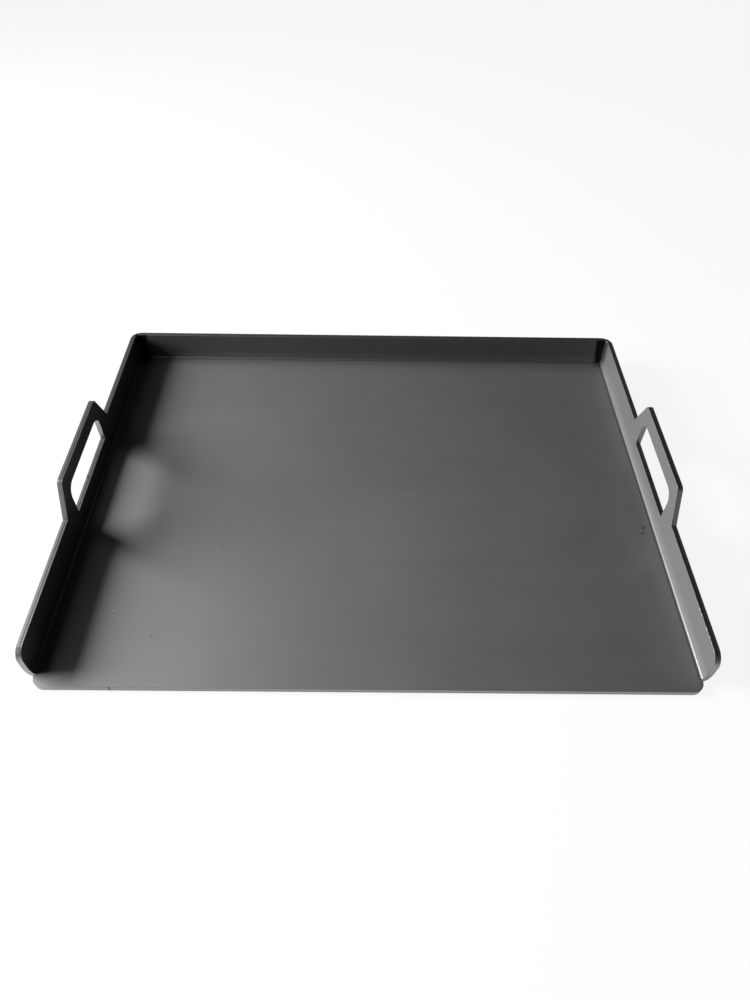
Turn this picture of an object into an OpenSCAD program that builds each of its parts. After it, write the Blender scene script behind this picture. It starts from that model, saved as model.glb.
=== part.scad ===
// Camp griddle plate: one laser-cut sheet folded up on three sides, open at the front,
// with a hand hole in a tab on each side wall and ground welds at the two rear corners.
// Millimetres. Origin under the middle of the plate, +Y to the back wall, +Z up.

/* [Plate] */
// Overall width across the two side walls
plate_w = 555; // [300:1:800]
// Overall depth from the front edge to the back of the back wall
plate_d = 430; // [300:1:600]
// Thickness of the sheet
sheet_t = 5; // [3:0.5:7]

/* [Folds] */
// Inside radius of the crease where the three folds leave the floor
fold_r = 2; // [1:0.25:4]
// Inside radius of the curved foot of each wall, above the crease
foot_r = 32; // [20:1:45]

/* [Walls] */
// Height of the three walls above the underside
wall_h = 35; // [28:1:50]
// Radius of the top front corner of each side wall
wall_corner_r = 11.5; // [4:0.5:16]

/* [Front lip] */
// Depth of the flat lip in front of the side walls
lip_d = 11.5; // [11:0.5:30]
// Radius of the lip's two front corners
lip_corner_r = 10; // [4:0.5:10]
// Distance from each side wall's inner face in to the end of the lip
lip_inset = 1.25; // [0:0.25:3]
// Width of the relief slit between the lip and each side fold
relief_w = 0.75; // [0.5:0.25:1]

/* [Rear corners] */
// Outside radius of the ground corner, seen from above
corner_r = 12; // [10:0.5:14]
// Leg of the weld in the inside corner
weld_leg = 1.5; // [1:0.25:3]

/* [Handles] */
// Height of the handles above the underside
handle_h = 68; // [60:1:90]
// Length of each handle where it leaves the wall
handle_base = 142; // [120:1:200]
// Length of each handle along its top
handle_top = 109; // [104:1:140]
// Distance from the middle of the depth back to the middle of the handles
handle_shift = 4; // [-20:1:20]
// Radius of the two top corners of each handle
handle_corner_r = 5; // [1:0.5:10]

/* [Hand holes] */
// Length of each hand hole
hole_w = 98.5; // [80:0.5:104]
// Height of each hand hole
hole_h = 31; // [24:0.5:38]
// Height of the lower edge of the hand holes above the underside
hole_z = 21.5; // [15:0.5:26]
// Radius of the two top corners of each hand hole
hole_corner_r = 12; // [3:0.5:14]

/* [Hidden] */
$fn = 64;
steel = [0.33, 0.33, 0.34];
weld_steel = [0.46, 0.46, 0.47];
// Spare length by which a cutting shape runs past what it cuts
spare = 10;
outer_x = plate_w / 2;
inner_x = outer_x - sheet_t;
front_y = -plate_d / 2;
back_y = plate_d / 2;
inner_y = back_y - sheet_t;
// Directions from the axes of a fold's two arcs to where they meet and to a point past the upper end.
// The crease turns the sheet by the angle of a 7-24-25 triangle, so the arcs meet in round numbers.
crease_end = [0.96, -0.28];
past_foot = [1, 0.1];
// Axes of the two arcs, from the end of the flat floor, on its top
crease_axis = [0, fold_r];
foot_axis = crease_axis - (foot_r - fold_r) * crease_end;
// Reach of a fold from the end of the flat floor to the wall's inner face, and its rise above the floor
fold_reach = foot_axis[0] + foot_r;
fold_rise = foot_axis[1];
// Height from which the walls are upright
fold_z = sheet_t + fold_rise;
flat_x = inner_x - fold_reach;
flat_y = inner_y - fold_reach;
// Size, from the outer faces, of the notch that the blank leaves at each rear corner for folding
notch = max(sheet_t + fold_reach, corner_r);
notch_x = outer_x - notch;
notch_y = back_y - notch;
wall_front_y = front_y + lip_d;
lip_x = inner_x - lip_inset;
handle_y = handle_shift;

// Rounding of an outline's corner b, between its neighbours a and c
function toward(a, b) = (b - a) / norm(b - a);
function half_angle(a, b, c) = acos(toward(b, a) * toward(b, c)) / 2;
function tangent_length(a, b, c, r) = r / tan(half_angle(a, b, c));
function bisector(a, b, c) = let (v = toward(b, a) + toward(b, c)) v / norm(v);
function fillet_centre(a, b, c, r) = b + bisector(a, b, c) * r / sin(half_angle(a, b, c));
function rounded_corner(a, b, c, r) =
    r == 0
    ? [b]
    : [
        b + toward(b, a) * tangent_length(a, b, c, r),
        b + toward(b, c) * tangent_length(a, b, c, r)
    ];

// Outline with rounded convex corners. Each entry of corners is [x, y, radius], radius 0 stays sharp.
module rounded_outline(corners) {
    count = len(corners);
    at = [for (corner = corners) [corner[0], corner[1]]];
    polygon([
        for (i = [0 : count - 1])
            each rounded_corner(at[(i + count - 1) % count], at[i], at[(i + 1) % count], corners[i][2])
    ]);
    for (i = [0 : count - 1]) {
        r = corners[i][2];
        if (r > 0) {
            translate(fillet_centre(at[(i + count - 1) % count], at[i], at[(i + 1) % count], r)) {
                circle(r);
            }
        }
    }
}

// Extrudes an outline drawn in Y and Z along X, over the full width
module across() {
    translate([-outer_x - spare, 0, 0]) {
        rotate([90, 0, 90]) {
            linear_extrude(plate_w + 2 * spare) {
                children();
            }
        }
    }
}

// Extrudes an outline drawn in X and Z along Y, over the full depth
module along() {
    translate([0, back_y + spare, 0]) {
        rotate([90, 0, 0]) {
            linear_extrude(plate_d + 2 * spare) {
                children();
            }
        }
    }
}

// Slice of a disc about the origin between two directions
module slice(r, from, to) {
    intersection() {
        circle(r);
        polygon([[0, 0], 2 * r * from, 2 * r * to]);
    }
}

// Room inside the sheet's surface at a depth in the sheet, seen along a wall, from start to the wall.
// The flat floor ends at flat, in a tight crease that runs into the wall's curved foot.
module room(start, flat, depth, top) {
    translate([start, sheet_t - depth]) {
        square([flat - start, top - sheet_t + depth]);
    }
    translate([start, fold_z]) {
        square([flat + fold_reach + depth - start, top - fold_z]);
    }
    translate([flat, sheet_t] + crease_axis) {
        circle(fold_r + depth);
    }
    translate([flat, sheet_t] + foot_axis) {
        slice(foot_r + depth, crease_end, past_foot);
    }
}

// Section of the sheet with one fold, seen along a wall
module sheet_section(start, flat, top) {
    difference() {
        room(start, flat, sheet_t, top);
        room(start - spare, flat, 0, top + spare);
    }
}

// Side view of a side wall with its handle. In the fold it stops at the rear notch.
module side_outline() {
    weld_y = inner_y - weld_leg;
    rounded_outline([
        [wall_front_y, 0, 0],
        [wall_front_y, wall_h, wall_corner_r],
        [handle_y - handle_base / 2, wall_h, 0],
        [handle_y - handle_top / 2, handle_h, handle_corner_r],
        [handle_y + handle_top / 2, handle_h, handle_corner_r],
        [handle_y + handle_base / 2, wall_h, 0],
        [weld_y, wall_h, 0],
        [weld_y, fold_z, 0],
        [notch_y, fold_z, 0],
        [notch_y, 0, 0]
    ]);
}

// Side view of a hand hole: square lower corners, round upper corners
module hand_hole_outline() {
    hole_top = hole_z + hole_h;
    rounded_outline([
        [handle_y - hole_w / 2, hole_z, 0],
        [handle_y - hole_w / 2, hole_top, hole_corner_r],
        [handle_y + hole_w / 2, hole_top, hole_corner_r],
        [handle_y + hole_w / 2, hole_z, 0]
    ]);
}

// Rear view of the back wall. In the fold it stops at the notches.
module back_outline() {
    weld_x = inner_x - weld_leg;
    polygon([
        [-notch_x, 0],
        [-notch_x, fold_z],
        [-weld_x, fold_z],
        [-weld_x, wall_h],
        [weld_x, wall_h],
        [weld_x, fold_z],
        [notch_x, fold_z],
        [notch_x, 0]
    ]);
}

// Plan of the floor's front lip, back to the side walls' front ends, with the relief slits
module lip_plan() {
    intersection() {
        rounded_outline([
            [-lip_x, front_y, lip_corner_r],
            [-lip_x, front_y + plate_d / 2, 0],
            [lip_x, front_y + plate_d / 2, 0],
            [lip_x, front_y, lip_corner_r]
        ]);
        union() {
            translate([-lip_x, front_y]) {
                square([2 * lip_x, lip_d - relief_w]);
            }
            translate([-flat_x, front_y]) {
                square([2 * flat_x, lip_d]);
            }
        }
    }
}

// What grinding takes off the right rear corner, seen from above
module ground_off_plan() {
    translate([outer_x - corner_r, back_y - corner_r]) {
        difference() {
            square(corner_r + spare);
            circle(corner_r);
        }
    }
}

// Shape at the right, and its mirror image at the left
module both_sides() {
    children();
    mirror([1, 0, 0]) {
        children();
    }
}

// Side walls with the floor between them, from the front ends of the walls to the notch line
module floor_and_sides() {
    difference() {
        intersection() {
            along() {
                sheet_section(-spare, flat_x, handle_h);
                mirror([1, 0]) {
                    sheet_section(-spare, flat_x, handle_h);
                }
            }
            across() {
                side_outline();
            }
        }
        across() {
            hand_hole_outline();
        }
    }
}

// Back wall with its fold
module back() {
    intersection() {
        across() {
            sheet_section(notch_y - foot_r, flat_y, wall_h);
        }
        along() {
            back_outline();
        }
    }
}

// The folded sheet before its corners are welded and ground
module folded_sheet() {
    floor_and_sides();
    back();
    linear_extrude(sheet_t) {
        lip_plan();
    }
}

// Half section of the filled corner about the corner's upright axis
module corner_fill_section() {
    intersection() {
        room(0, notch - sheet_t - fold_reach, sheet_t, wall_h);
        square(notch + wall_h);
    }
}

// Room inside the right rear corner, as seen along one wall: wall face, fold and floor
module inside_section(face) {
    room(face - notch - foot_r, face - fold_reach, 0, wall_h + spare);
}

// Room inside the right rear corner, less the weld's face across the crease
module corner_room() {
    reach = notch + 2 * spare;
    intersection() {
        along() {
            inside_section(inner_x);
        }
        across() {
            inside_section(inner_y);
        }
        linear_extrude(wall_h + spare) {
            polygon([
                [inner_x - reach, inner_y - reach],
                [inner_x + reach - weld_leg, inner_y - reach],
                [inner_x - reach - weld_leg, inner_y + reach]
            ]);
        }
    }
}

// Weld metal that fills the right rear notch and joins the two wall ends
module corner_weld() {
    difference() {
        translate([notch_x, notch_y, 0]) {
            rotate_extrude(angle = 90) {
                corner_fill_section();
            }
        }
        corner_room();
        folded_sheet();
        linear_extrude(wall_h + spare) {
            ground_off_plan();
        }
    }
}

module folded_plate() {
    color(steel) {
        difference() {
            folded_sheet();
            both_sides() {
                linear_extrude(handle_h) {
                    ground_off_plan();
                }
            }
        }
    }
}

module left_corner_weld() {
    color(weld_steel) {
        mirror([1, 0, 0]) {
            corner_weld();
        }
    }
}

module right_corner_weld() {
    color(weld_steel) {
        corner_weld();
    }
}

folded_plate();
left_corner_weld();
right_corner_weld();
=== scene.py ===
"""Looks of a camp griddle plate: bare mill-finished steel, folded from one laser-cut sheet.

The CAD nodes keep their shapes. This script breaks their edges, gives them their steel and
sets up the floor, the light and the camera. Metres, in the frame of the CAD model: origin
under the middle of the plate, +Y to the back wall, +Z up.
"""

import math

import bpy
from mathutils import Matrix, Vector


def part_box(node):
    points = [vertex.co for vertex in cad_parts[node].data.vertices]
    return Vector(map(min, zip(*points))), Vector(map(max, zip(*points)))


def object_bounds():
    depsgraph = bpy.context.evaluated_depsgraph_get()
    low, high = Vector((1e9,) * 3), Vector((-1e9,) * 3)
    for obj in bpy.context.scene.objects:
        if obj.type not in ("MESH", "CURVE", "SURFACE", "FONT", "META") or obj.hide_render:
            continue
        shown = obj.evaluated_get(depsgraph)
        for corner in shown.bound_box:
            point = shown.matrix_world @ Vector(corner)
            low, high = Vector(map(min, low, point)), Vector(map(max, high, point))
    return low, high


def corners(box):
    return [list(corner) for corner in box]


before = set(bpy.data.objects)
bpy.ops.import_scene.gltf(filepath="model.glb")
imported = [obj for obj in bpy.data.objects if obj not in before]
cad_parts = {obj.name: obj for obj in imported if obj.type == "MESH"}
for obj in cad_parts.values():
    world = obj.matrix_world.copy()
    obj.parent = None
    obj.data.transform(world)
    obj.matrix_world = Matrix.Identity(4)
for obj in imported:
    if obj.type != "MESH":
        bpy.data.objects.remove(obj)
cad_box = corners(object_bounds())
cad_low, cad_high = cad_box

# Sizes of the folded sheet, from the frame or as in the CAD model
SHEET_T = 0.005
FOLD_R = 0.002
FOOT_R = 0.032
CREASE_SIN = 0.96
CREASE_COS = 0.28
LIP_D = 0.0115
HOLE_Z = 0.0215
INNER_X = cad_high[0] - SHEET_T
INNER_Y = cad_high[1] - SHEET_T
LIP_FRONT_Y = cad_low[1]
WALL_FRONT_Y = LIP_FRONT_Y + LIP_D
WALL_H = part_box("left_corner_weld")[1][2]
# Angle that the crease turns, and the whole fold's reach past the flat floor and rise above it
CREASE_TURN = math.atan2(CREASE_SIN, CREASE_COS)
FOLD_REACH = FOLD_R * CREASE_SIN + FOOT_R * (1.0 - CREASE_SIN)
FOLD_RISE = FOLD_R * (1.0 - CREASE_COS) + FOOT_R * CREASE_COS
# Slack for telling the walls from the floor
SLACK = SHEET_T / 10
# Depths in the sheet between which the look of the tray's inner face ends
INNER_SKIN = (0.0004, 0.0008)
# Depths between which a rolled face turns into a cut edge
EDGE_START = (0.00015, 0.00030)

# How far the laser-cut edges and the ground welds are rounded over
EDGE_BREAK = 0.00035
WELD_EDGE_BREAK = 0.0003
# Vertices closer than this are one, and facets within the flat angle (degrees) are one face
MERGE_DISTANCE = 1e-6
FLAT_ANGLE = 0.2
# Edges sharper than this many degrees are rounded over
SHARP_ANGLE = 35.0

STEEL_TINT = (0.965, 0.960, 1.0)
# How metallic the scaled faces and the bare cut edges are
FACE_METAL = 0.857
EDGE_METAL = 0.95
# A thin smooth skin, such as oil on the scale
COAT = 0.49
COAT_ROUGH = 0.22
# Relief of the finishes
BUMP_STRENGTH = 0.35
BUMP_HEIGHT = 0.00006

# Rolled faces. Bending stretches the scale in the creases smooth.
FACE_SHADE = 0.150
FACE_ROUGH = 0.675
CREASE_ROUGH = 0.52
# Shade of small features, as a share of the face's own
PIT_SHADE = 0.75
SMUDGE_SHADE = 0.6
SCRATCH_SHADE = 1.6
# Painted shade in a line just before each crease
CREASE_PAINTED_SHADE = 0.55
# How much rougher the pits are, and how far each pattern stands up or goes down
PIT_ROUGH = 0.12
STREAK_RELIEF = 0.2
GRAIN_RELIEF = 0.25
PIT_RELIEF = -0.6
# Marks on the tray's floor: x and y of the middle, length, width, and angle in degrees
SMUDGES = [
    (0.2616, -0.0447, 0.0080, 0.0054, 70.0),
    (0.2588, -0.0520, 0.0072, 0.0046, 20.0),
    (0.2260, -0.1930, 0.0040, 0.0010, 20.0),
    (0.2480, -0.1680, 0.0030, 0.0010, -30.0),
]
SCRATCHES = [
    (-0.2510, -0.2065, 0.0060, 0.0014, 35.0),
    (-0.2220, -0.1430, 0.0046, 0.0022, 15.0),
]

# Painted shade in the rear inside corners (a painted dark reflection on the back wall, painted shadow on
# the side walls and floor): distances from the corner between which it ends on each face, and how strong it
# is
BACK_PAINTED_SHADE = (0.0058, 0.0092)
SIDE_PAINTED_SHADE = (0.003, 0.009)
FLOOR_PAINTED_SHADE = (0.006, 0.014)
SIDE_PAINTED_SHADE_SHARE = 0.6
FLOOR_PAINTED_SHADE_SHARE = 0.5
# How much wider the painted dark band on the back wall gets with height
BACK_PAINTED_SHADE_SLOPE = 0.13
# Distances from a wall's inner face between which a point stops belonging to that wall
NEAR_WALL = (0.002, 0.005)
# What is left of the shade and of the smooth skin under the painted shade in the rear corners
CORNER_PAINTED_SHADE = 0.08
CORNER_SHADE_COAT = 0.03

# Laser-cut edges: a smooth rim at the tray's inner face, a dark line, and grain drawn out through the sheet
CUT_SHADE = 0.125
CUT_ROUGH = 0.50
RIM = (0.0010, 0.0014)
RIM_SHADE = 0.07
RIM_ROUGH = -0.10
DARK_LINE_DEPTH = 0.0019
DARK_LINE_SHADE = 0.4
GRAIN_DRAW = 0.4
CUT_RELIEF = 0.7
SMOOTH_RELIEF = 0.2
# Shade of the edges that face the front: painted light, standing in for their reflection of the bright
# floor in front
FRONT_EDGE_PAINTED_LIGHT = 0.30

# Burnt spots where the laser entered: side and y on the lower edges of the hand holes, x on the lip
LEAD_INS = [(-1.0, -0.001), (1.0, 0.0036)]
LEAD_IN_DEPTH = 0.0034
LEAD_IN_R = (0.0008, 0.0017)
LIP_NICK_X = -0.2078
BURN_SHADE = 0.12

# Flecks of burr on the right wall's inner top edge, painted bright as glints
BURR_Y = -0.172
BURR_REACH = 0.022
BURR_GLINT_SHADE = 0.36

# Ground corners and the weld bead
GROUND_SHADE = 0.24
GROUND_ROUGH = 0.42
GROUND_REACH = (0.010, 0.019)
GROUND_RAGGED = 0.004
BEAD = (0.0016, 0.0022)
BEAD_SHADE = 0.20
# A painted glint near the top of the bead
BEAD_GLINT_SHADE = 1.5
WELD_TOP_SHADE = 0.2

# Floor and room
WHITE = (1.0, 1.0, 1.0, 1.0)
PALE = (0.71, 0.71, 0.71, 1.0)
FLOOR_REACH = 4.0
FLOOR_DROP = 0.0003
# Share of plain white that the floor shows to each kind of ray
FLOOR_WHITE = {"Is Camera Ray": 0.9, "Is Glossy Ray": 0.6, "Is Transmission Ray": 0.6}
ROOM_LIGHT = 0.0076

# Camera: focal length and sensor in millimetres, place, and turn in degrees
LENS_MM = 25.99
SENSOR_MM = 36.0
CAMERA_PLACE = (-0.00135, -0.48151, 0.53937)
CAMERA_TURN = (41.2347, -0.7192, 0.1399)


class Graph:
    """The node tree of one material, with short calls for the nodes used here."""

    def __init__(self, name):
        self.material = bpy.data.materials.new(name)
        self.material.use_nodes = True
        self.tree = self.material.node_tree
        self.tree.nodes.clear()

    def feed(self, socket, value):
        """Links a socket to another node's output, or sets its value."""
        if isinstance(value, bpy.types.NodeSocket):
            self.tree.links.new(value, socket)
        else:
            socket.default_value = value

    def node(self, kind, sockets=None, **settings):
        """A new node with these settings, and with these values or links at its inputs."""
        made = self.tree.nodes.new(kind)
        for key, value in settings.items():
            setattr(made, key, value)
        for key, value in (sockets or {}).items():
            self.feed(made.inputs[key], value)
        return made

    def math(self, operation, a, b=0.0, clamp=False):
        made = self.node("ShaderNodeMath", {0: a, 1: b}, operation=operation, use_clamp=clamp)
        return made.outputs[0]

    def most(self, first, *others):
        """The largest of several values."""
        for other in others:
            first = self.math("MAXIMUM", first, other)
        return first

    def times(self, first, *others):
        """The product of several values."""
        for other in others:
            first = self.math("MULTIPLY", first, other)
        return first

    def plus(self, first, *others):
        """The sum of several values."""
        for other in others:
            first = self.math("ADD", first, other)
        return first

    def minus(self, a, b):
        return self.math("SUBTRACT", a, b)

    def above(self, value, limit):
        """1 where value is above limit, otherwise 0."""
        return self.math("GREATER_THAN", value, limit)

    def length(self, a, b):
        return self.math("SQRT", self.plus(self.times(a, a), self.times(b, b)))

    def ramp(self, value, start, end, bottom=0.0, top=1.0):
        """A soft step from bottom to top as value goes from start to end."""
        sockets = {"Value": value, "From Min": start, "From Max": end, "To Min": bottom, "To Max": top}
        made = self.node("ShaderNodeMapRange", sockets, interpolation_type="SMOOTHSTEP")
        return made.outputs["Result"]

    def fade(self, value, start, end, full=1.0):
        """Full up to start, and from there a soft step down to 0 at end."""
        return self.ramp(value, start, end, full, 0.0)

    def line(self, value, at, half_width, soft):
        """1 where value is within half_width of at, with soft flanks."""
        away = self.math("ABSOLUTE", self.minus(value, at))
        return self.fade(away, half_width, half_width + soft)

    def mix(self, factor, a, b):
        """Goes from a to b as factor goes from 0 to 1."""
        made = self.node("ShaderNodeMix", {0: factor, 2: a, 3: b}, data_type="FLOAT")
        return made.outputs[0]

    def toned(self, factor, to):
        """Goes from 1 to another value as factor goes from 0 to 1."""
        return self.mix(factor, 1.0, to)

    def swing(self, noise, by):
        """Goes from -by / 2 to by / 2 as a noise goes from 0 to 1."""
        return self.times(self.minus(noise, 0.5), by)

    def point(self, x, y, z=0.0):
        return self.node("ShaderNodeCombineXYZ", {0: x, 1: y, 2: z}).outputs[0]

    def noise(self, at, scale, detail=2.0, rough=0.5):
        sockets = {"Vector": at, "Scale": scale, "Detail": detail, "Roughness": rough}
        return self.node("ShaderNodeTexNoise", sockets).outputs["Fac"]

    def stretched_noise(self, axes, waves, detail, rough=0.5):
        """Noise with its own number of waves per metre along each axis."""
        at = self.point(*(self.times(axis, count) for axis, count in zip(axes, waves)))
        return self.noise(at, 1.0, detail, rough)

    def spots(self, at, scale, share, radius):
        """Round spots of up to radius cells in a share of the cells of a grid of that scale."""
        cells = self.node(
            "ShaderNodeTexVoronoi",
            {"Vector": at, "Scale": scale, "Randomness": 1.0},
            voronoi_dimensions="2D",
        )
        pick = self.node("ShaderNodeSeparateColor", {0: cells.outputs["Color"]}).outputs
        chosen = self.math("LESS_THAN", pick[0], share)
        reach = self.times(pick[1], radius)
        inside = self.minus(1.0, self.math("DIVIDE", cells.outputs["Distance"], reach))
        return self.times(chosen, self.ramp(inside, start=0.0, end=0.5))

    def tint(self, shade, colour):
        made = self.node("ShaderNodeVectorMath", {0: colour, "Scale": shade}, operation="SCALE")
        return made.outputs[0]


class Sheet:
    """Where a point lies on the folded sheet, as values in a material's node tree."""

    def __init__(self, g):
        self.at = g.node("ShaderNodeTexCoord").outputs["Object"]
        self.x, self.y, self.z = g.node("ShaderNodeSeparateXYZ", {0: self.at}).outputs
        side = g.math("ABSOLUTE", self.x)
        # Distances from the inner faces of the side walls and of the back wall
        self.from_side = g.minus(INNER_X, side)
        self.from_back = g.minus(INNER_Y, self.y)
        self.on_side = g.above(side, INNER_X - SLACK)
        self.on_back = g.above(self.y, INNER_Y - SLACK)
        # Distance past the end of the flat floor. The lip has no folds at its ends.
        behind_lip = g.above(self.y, WALL_FRONT_Y - SLACK)
        to_side = g.minus(side, INNER_X - FOLD_REACH)
        to_back = g.minus(self.y, INNER_Y - FOLD_REACH)
        self.past = g.most(g.mix(behind_lip, -INNER_X, to_side), to_back)
        self.depth = self.depth_in_sheet(g)
        # 1 on the face that is inside the tray
        self.inside = g.fade(self.depth, *INNER_SKIN)
        # The blank's own coordinates before folding: along the rolling direction and across it
        self.along = g.plus(self.x, g.times(g.math("SIGN", self.x), self.z))
        self.across = g.plus(self.y, g.times(self.z, self.on_back))

    def depth_in_sheet(self, g):
        """0 on the face that is inside the tray, SHEET_T on the outer face.

        It is measured from the axis of the crease, or from that of the wall's foot above it.
        """
        rise = g.minus(self.z, SHEET_T)
        from_crease = (g.most(self.past, 0.0), g.minus(FOLD_R, rise))
        foot_x = (FOOT_R - FOLD_R) * CREASE_SIN
        from_foot = (g.plus(self.past, foot_x), g.most(g.minus(FOLD_RISE, rise), 0.0))
        on_foot = g.above(g.math("ARCTAN2", *from_foot), CREASE_TURN)
        crease_depth = g.minus(g.length(*from_crease), FOLD_R)
        foot_depth = g.minus(g.length(*from_foot), FOOT_R)
        return g.mix(on_foot, crease_depth, foot_depth)


def rear_corner_painted_shade(g, s):
    """Painted shade that darkens the inside of the tray near the rear corners."""
    at_back = g.fade(s.from_back, *NEAR_WALL)
    at_side = g.fade(s.from_side, *NEAR_WALL)
    band = g.minus(s.from_side, g.times(s.z, BACK_PAINTED_SHADE_SLOPE))
    on_back_wall = g.times(at_back, g.fade(band, *BACK_PAINTED_SHADE))
    on_side_wall = g.times(at_side, g.fade(s.from_back, *SIDE_PAINTED_SHADE, SIDE_PAINTED_SHADE_SHARE))
    to_corner = g.most(s.from_side, s.from_back)
    on_floor = g.fade(to_corner, *FLOOR_PAINTED_SHADE, FLOOR_PAINTED_SHADE_SHARE)
    return g.times(s.inside, g.most(on_back_wall, on_side_wall, on_floor))


def mark(g, s, x, y, length, width, angle):
    """A small oval mark on the floor of the tray, with a soft border."""
    right = g.minus(s.x, x)
    up = g.minus(s.y, y)
    cos = math.cos(math.radians(angle))
    sin = math.sin(math.radians(angle))
    along = g.plus(g.times(right, cos), g.times(up, sin))
    across = g.plus(g.times(up, cos), g.times(right, -sin))
    away = g.length(g.times(along, 2.0 / length), g.times(across, 2.0 / width))
    return g.times(s.inside, g.fade(away, start=0.3, end=1.0))


def marks(g, s, places):
    return g.most(*(mark(g, s, *place) for place in places))


def mill_finish(g, s, corner_shade):
    """Shade, roughness and height of the rolled faces of the sheet, with painted shade near the rear
    corners.
    """
    blank = (s.along, s.across)
    streaks = g.stretched_noise(blank, waves=(2.5, 140.0), detail=4.0, rough=0.65)
    long_streaks = g.stretched_noise(blank, waves=(1.2, 45.0), detail=3.0)
    clouds = g.noise(s.at, scale=9.0, detail=5.0, rough=0.6)
    grain = g.noise(s.at, scale=1400.0)
    pits = g.spots(g.point(*blank), scale=42.0, share=0.09, radius=0.06)
    shade = g.plus(
        FACE_SHADE,
        g.swing(streaks, by=0.008),
        g.swing(long_streaks, by=0.008),
        g.swing(clouds, by=0.018),
        g.swing(grain, by=0.008),
    )
    # A painted line of shade lies along the floor side of each crease
    crease_painted_shade = g.times(s.inside, g.line(s.past, at=-0.0005, half_width=0.0004, soft=0.0005))
    shade = g.times(
        shade,
        g.toned(pits, to=PIT_SHADE),
        g.toned(marks(g, s, SMUDGES), to=SMUDGE_SHADE),
        g.toned(marks(g, s, SCRATCHES), to=SCRATCH_SHADE),
        g.toned(crease_painted_shade, to=CREASE_PAINTED_SHADE),
        g.toned(corner_shade, to=CORNER_PAINTED_SHADE),
    )
    rough = g.plus(
        FACE_ROUGH,
        g.swing(clouds, by=0.08),
        g.swing(streaks, by=0.06),
        g.times(pits, PIT_ROUGH),
    )
    crease = g.line(s.past, at=0.0008, half_width=0.0007, soft=0.0007)
    rough = g.mix(crease, rough, CREASE_ROUGH)
    height = g.plus(
        g.times(streaks, STREAK_RELIEF),
        g.times(grain, GRAIN_RELIEF),
        g.times(pits, PIT_RELIEF),
    )
    return shade, rough, height


def lead_in(g, s, side, y):
    """The burnt spot where the laser entered the outline of a hand hole."""
    on_this_side = g.above(g.times(s.x, side), INNER_X - SHEET_T)
    on_edge = g.line(s.z, at=HOLE_Z, half_width=0.0004, soft=0.0004)
    away = g.length(g.minus(s.y, y), g.minus(s.depth, LEAD_IN_DEPTH))
    return g.times(on_this_side, on_edge, g.fade(away, *LEAD_IN_R))


def lip_nick(g, s):
    """The burnt nick where the laser entered the front edge of the lip."""
    on_front = g.fade(s.y, start=LIP_FRONT_Y + 0.0003, end=LIP_FRONT_Y + 0.0008)
    return g.times(on_front, g.line(s.x, at=LIP_NICK_X, half_width=0.0004, soft=0.0005))


def burr_flecks_and_glints(g, s):
    """Flecks of burr on the right wall's inner top edge, near its front end, painted bright as glints."""
    flecks = g.spots(g.point(s.y, 0.0), scale=420.0, share=0.9, radius=0.8)
    at_top = g.ramp(s.z, start=WALL_H - 0.0010, end=WALL_H - 0.0004)
    at_inner_face = g.fade(s.depth, start=0.0006, end=0.0010)
    at_right = g.above(s.x, INNER_X - SLACK)
    near_front = g.line(s.y, at=BURR_Y, half_width=BURR_REACH, soft=0.004)
    return g.times(flecks, at_top, at_inner_face, at_right, near_front)


def forward_edges_painted_light(g, s):
    """The front of the plate, and every other edge that faces forward: where the edges are painted light.
    """
    normal = g.node("ShaderNodeNewGeometry").outputs["True Normal"]
    normal_y = g.node("ShaderNodeSeparateXYZ", {0: normal}).outputs[1]
    at_front = g.fade(s.y, start=WALL_FRONT_Y + 0.003, end=WALL_FRONT_Y + 0.007)
    facing = g.times(normal_y, -1.0)
    return g.most(at_front, g.ramp(facing, start=0.5, end=0.9))


def cut_finish(g, s):
    """Shade, roughness and height of the laser-cut edges.

    Each edge has a smooth rim, a dark line and a grainy zone. Edges that face the front are painted
    light, standing in for their reflection of the bright floor in front, and have less relief.
    """
    through = g.point(
        g.times(s.x, g.toned(s.on_side, to=GRAIN_DRAW)),
        g.times(s.y, g.toned(s.on_back, to=GRAIN_DRAW)),
        s.z,
    )
    grain = g.noise(through, scale=1000.0, detail=3.0, rough=0.6)
    front = forward_edges_painted_light(g, s)
    rim = g.fade(s.depth, *RIM)
    # The dark line gets weaker towards the back
    dark_line = g.times(
        g.line(s.depth, at=DARK_LINE_DEPTH, half_width=0.0003, soft=0.0004),
        g.ramp(s.y, start=-0.02, end=0.08, bottom=1.0, top=0.3),
        g.minus(1.0, front),
    )
    shade = g.plus(CUT_SHADE, g.swing(grain, by=0.18), g.times(rim, RIM_SHADE))
    shade = g.times(shade, g.toned(dark_line, to=DARK_LINE_SHADE))
    # Painted light on the edges that face the front
    shade = g.mix(front, shade, FRONT_EDGE_PAINTED_LIGHT)
    rough = g.plus(CUT_ROUGH, g.swing(grain, by=0.15), g.times(rim, RIM_ROUGH))
    height = g.times(grain, g.mix(g.most(rim, front), CUT_RELIEF, SMOOTH_RELIEF))
    return shade, rough, height


def ground_finish(g, s):
    """Shade, roughness and height of the ground outside of the rear corners."""
    lines = g.stretched_noise((s.x, s.y, s.z), waves=(500.0, 500.0, 2600.0), detail=3.0)
    clouds = g.noise(s.at, scale=120.0, detail=3.0)
    shade = g.plus(GROUND_SHADE, g.swing(lines, by=0.16), g.swing(clouds, by=0.12))
    rough = g.plus(GROUND_ROUGH, g.swing(lines, by=0.2))
    return shade, rough, lines


def ground_zone(g, s):
    """Where the grinding of the welds ran over onto the outside of the sheet."""
    ragged = g.times(g.noise(s.at, scale=160.0), GROUND_RAGGED)
    to_corner = g.plus(g.most(s.from_side, s.from_back), ragged)
    near = g.fade(to_corner, *GROUND_REACH)
    outside = g.ramp(s.depth, start=0.0033, end=0.0037)
    below_top = g.fade(s.z, start=WALL_H - 0.0004, end=WALL_H - 0.0002)
    return g.times(near, outside, below_top)


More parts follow.
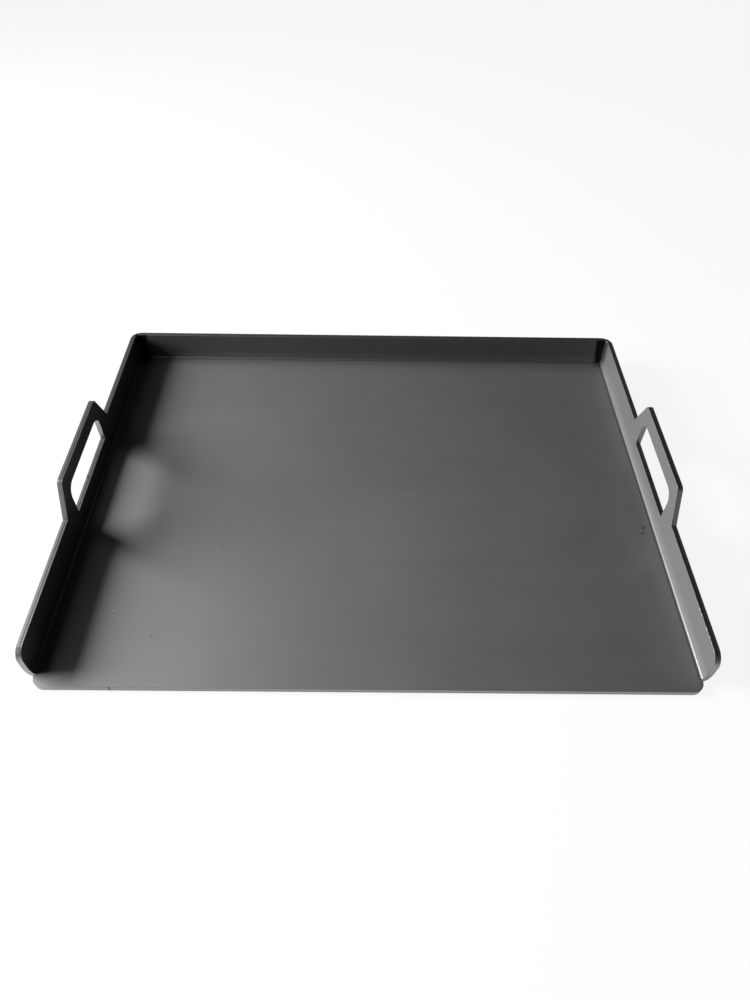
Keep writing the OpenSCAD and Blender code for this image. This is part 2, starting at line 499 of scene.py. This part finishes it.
def steel_shader(g, shade, metal, rough, height, corner_shade):
    """Steel under a thin smooth skin, which is mostly taken off under the painted shade in the rear
    corners.
    """
    bump = g.node(
        "ShaderNodeBump",
        {"Strength": BUMP_STRENGTH, "Distance": BUMP_HEIGHT, "Height": height},
    )
    shader = g.node(
        "ShaderNodeBsdfPrincipled",
        {
            "Base Color": g.tint(shade, STEEL_TINT),
            "Metallic": metal,
            "Roughness": rough,
            "Coat Weight": g.mix(corner_shade, COAT, CORNER_SHADE_COAT),
            "Coat Roughness": COAT_ROUGH,
            "Normal": bump.outputs[0],
        },
    )
    g.node("ShaderNodeOutputMaterial", {"Surface": shader.outputs[0]})


def plate_steel():
    """The sheet: rolled faces, laser-cut edges, and ground outside corners at the rear."""
    g = Graph("plate_steel")
    s = Sheet(g)
    corner_shade = rear_corner_painted_shade(g, s)
    face_shade, face_rough, face_height = mill_finish(g, s, corner_shade)
    edge_shade, edge_rough, edge_height = cut_finish(g, s)
    ground_shade, ground_rough, ground_height = ground_finish(g, s)
    ground = ground_zone(g, s)
    edge_low, edge_high = EDGE_START
    cut = g.times(
        g.ramp(s.depth, edge_low, edge_high),
        g.fade(s.depth, SHEET_T - edge_high, SHEET_T - edge_low),
    )
    burns = g.most(lip_nick(g, s), *(lead_in(g, s, side, y) for side, y in LEAD_INS))
    shade = g.times(g.mix(cut, face_shade, edge_shade), g.toned(burns, to=BURN_SHADE))
    # The burr flecks are painted bright as glints
    shade = g.mix(burr_flecks_and_glints(g, s), shade, BURR_GLINT_SHADE)
    bare = g.math("SUBTRACT", cut, ground, clamp=True)
    steel_shader(
        g,
        shade=g.mix(ground, shade, ground_shade),
        metal=g.mix(bare, FACE_METAL, EDGE_METAL),
        rough=g.mix(ground, g.mix(cut, face_rough, edge_rough), ground_rough),
        height=g.mix(ground, g.mix(cut, face_height, edge_height), ground_height),
        corner_shade=corner_shade,
    )
    return g.material


def weld_steel():
    """Weld metal: ground bright outside, a narrow grey bead in the inside corner with a painted glint near
    its top.
    """
    g = Graph("weld_steel")
    s = Sheet(g)
    corner_shade = rear_corner_painted_shade(g, s)
    face_shade, face_rough, face_height = mill_finish(g, s, corner_shade)
    ground_shade, ground_rough, ground_height = ground_finish(g, s)
    bead = g.fade(g.plus(s.from_side, s.from_back), *BEAD)
    # A painted glint near the top of the bead
    bead_painted_glint = g.line(s.z, at=WALL_H - 0.0010, half_width=0.0003, soft=0.0004)
    bead_shade = g.times(ground_shade, g.mix(bead_painted_glint, BEAD_SHADE, BEAD_GLINT_SHADE))
    inner_shade = g.mix(bead, face_shade, bead_shade)
    top = g.ramp(s.z, start=WALL_H - 0.0005, end=WALL_H - 0.0002)
    shade = g.times(g.mix(s.inside, ground_shade, inner_shade), g.toned(top, to=WELD_TOP_SHADE))
    steel_shader(
        g,
        shade=shade,
        metal=FACE_METAL,
        rough=g.mix(s.inside, ground_rough, face_rough),
        height=g.mix(s.inside, ground_height, face_height),
        corner_shade=corner_shade,
    )
    return g.material


def break_edges(obj, width):
    """Rounds a CAD node's sharp edges over without touching its mesh."""
    weld = obj.modifiers.new("weld", "WELD")
    weld.merge_threshold = MERGE_DISTANCE
    flats = obj.modifiers.new("flats", "DECIMATE")
    flats.decimate_type = "DISSOLVE"
    flats.angle_limit = math.radians(FLAT_ANGLE)
    bevel = obj.modifiers.new("edge_break", "BEVEL")
    bevel.width = width
    bevel.segments = 2
    bevel.limit_method = "ANGLE"
    bevel.angle_limit = math.radians(SHARP_ANGLE)
    shading = obj.modifiers.new("shading", "WEIGHTED_NORMAL")
    shading.keep_sharp = False


def dress(obj, material, width):
    obj.data.materials.clear()
    obj.data.materials.append(material)
    break_edges(obj, width)


def pale_floor():
    """A white floor that keeps a light shadow of the object."""
    mesh = bpy.data.meshes.new("floor")
    outline = [(-1, -1), (1, -1), (1, 1), (-1, 1)]
    mesh.from_pydata([(x * FLOOR_REACH, y * FLOOR_REACH, 0.0) for x, y in outline], [], [(0, 1, 2, 3)])
    floor = bpy.data.objects.new("floor", mesh)
    floor.location.z = -FLOOR_DROP
    bpy.context.scene.collection.objects.link(floor)
    g = Graph("floor")
    seen = g.node("ShaderNodeLightPath").outputs
    shown = g.most(*(g.times(seen[ray], share) for ray, share in FLOOR_WHITE.items()))
    paper = g.node("ShaderNodeBsdfDiffuse", {"Color": PALE})
    white = g.node("ShaderNodeEmission", {"Color": WHITE, "Strength": 1.0})
    blend = g.node("ShaderNodeMixShader", {0: shown, 1: paper.outputs[0], 2: white.outputs[0]})
    g.node("ShaderNodeOutputMaterial", {"Surface": blend.outputs[0]})
    mesh.materials.append(g.material)


def softbox(name, place, target, width, height, power, spread=180.0):
    """A rectangular soft light at place that faces target. Power in watts, spread in degrees."""
    lamp = bpy.data.lights.new(name, "AREA")
    lamp.shape = "RECTANGLE"
    lamp.size = width
    lamp.size_y = height
    lamp.energy = power
    lamp.spread = math.radians(spread)
    box = bpy.data.objects.new(name, lamp)
    box.location = place
    box.rotation_euler = (Vector(target) - Vector(place)).to_track_quat("-Z", "Y").to_euler()
    bpy.context.scene.collection.objects.link(box)


def soft_light():
    """One long softbox at the left, and dim ones above it and behind."""
    softbox(
        "main_light",
        place=(-1.823, 0.158, 0.822),
        target=(-0.110, -0.243, 0.0),
        width=1.28,
        height=0.873,
        power=79.3,
        spread=124.3,
    )
    softbox(
        "upper_light",
        place=(-0.996, -0.020, 1.252),
        target=(0.0, 0.0, 0.0),
        width=1.0,
        height=0.6,
        power=2.15,
    )
    softbox(
        "rear_light",
        place=(-0.15, 1.0, 1.5),
        target=(-0.05, -0.06, 0.0),
        width=0.8,
        height=0.4,
        power=0.4,
    )


def dim_room():
    """A dim room, which the camera sees as white where the floor ends."""
    world = bpy.data.worlds.new("room")
    world.use_nodes = True
    tree = world.node_tree
    background = tree.nodes["Background"]
    background.inputs["Color"].default_value = WHITE
    seen = tree.nodes.new("ShaderNodeLightPath")
    strength = tree.nodes.new("ShaderNodeMapRange")
    strength.inputs["To Min"].default_value = ROOM_LIGHT
    strength.inputs["To Max"].default_value = 1.0
    tree.links.new(seen.outputs["Is Camera Ray"], strength.inputs["Value"])
    tree.links.new(strength.outputs["Result"], background.inputs["Strength"])
    bpy.context.scene.world = world


def photo_camera():
    """A camera at the photo's viewing angle."""
    lens = bpy.data.cameras.new("camera")
    lens.sensor_width = SENSOR_MM
    lens.lens = LENS_MM
    lens.clip_start = 0.01
    camera = bpy.data.objects.new("camera", lens)
    camera.location = CAMERA_PLACE
    camera.rotation_euler = [math.radians(turn) for turn in CAMERA_TURN]
    bpy.context.scene.collection.objects.link(camera)
    bpy.context.scene.camera = camera


photo_camera()
pale_floor()
soft_light()
dim_room()

steel = plate_steel()
weld_metal = weld_steel()
dress(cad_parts["folded_plate"], steel, EDGE_BREAK)
dress(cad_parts["left_corner_weld"], weld_metal, WELD_EDGE_BREAK)
dress(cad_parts["right_corner_weld"], weld_metal, WELD_EDGE_BREAK)

bpy.context.scene.view_settings.view_transform = "Standard"
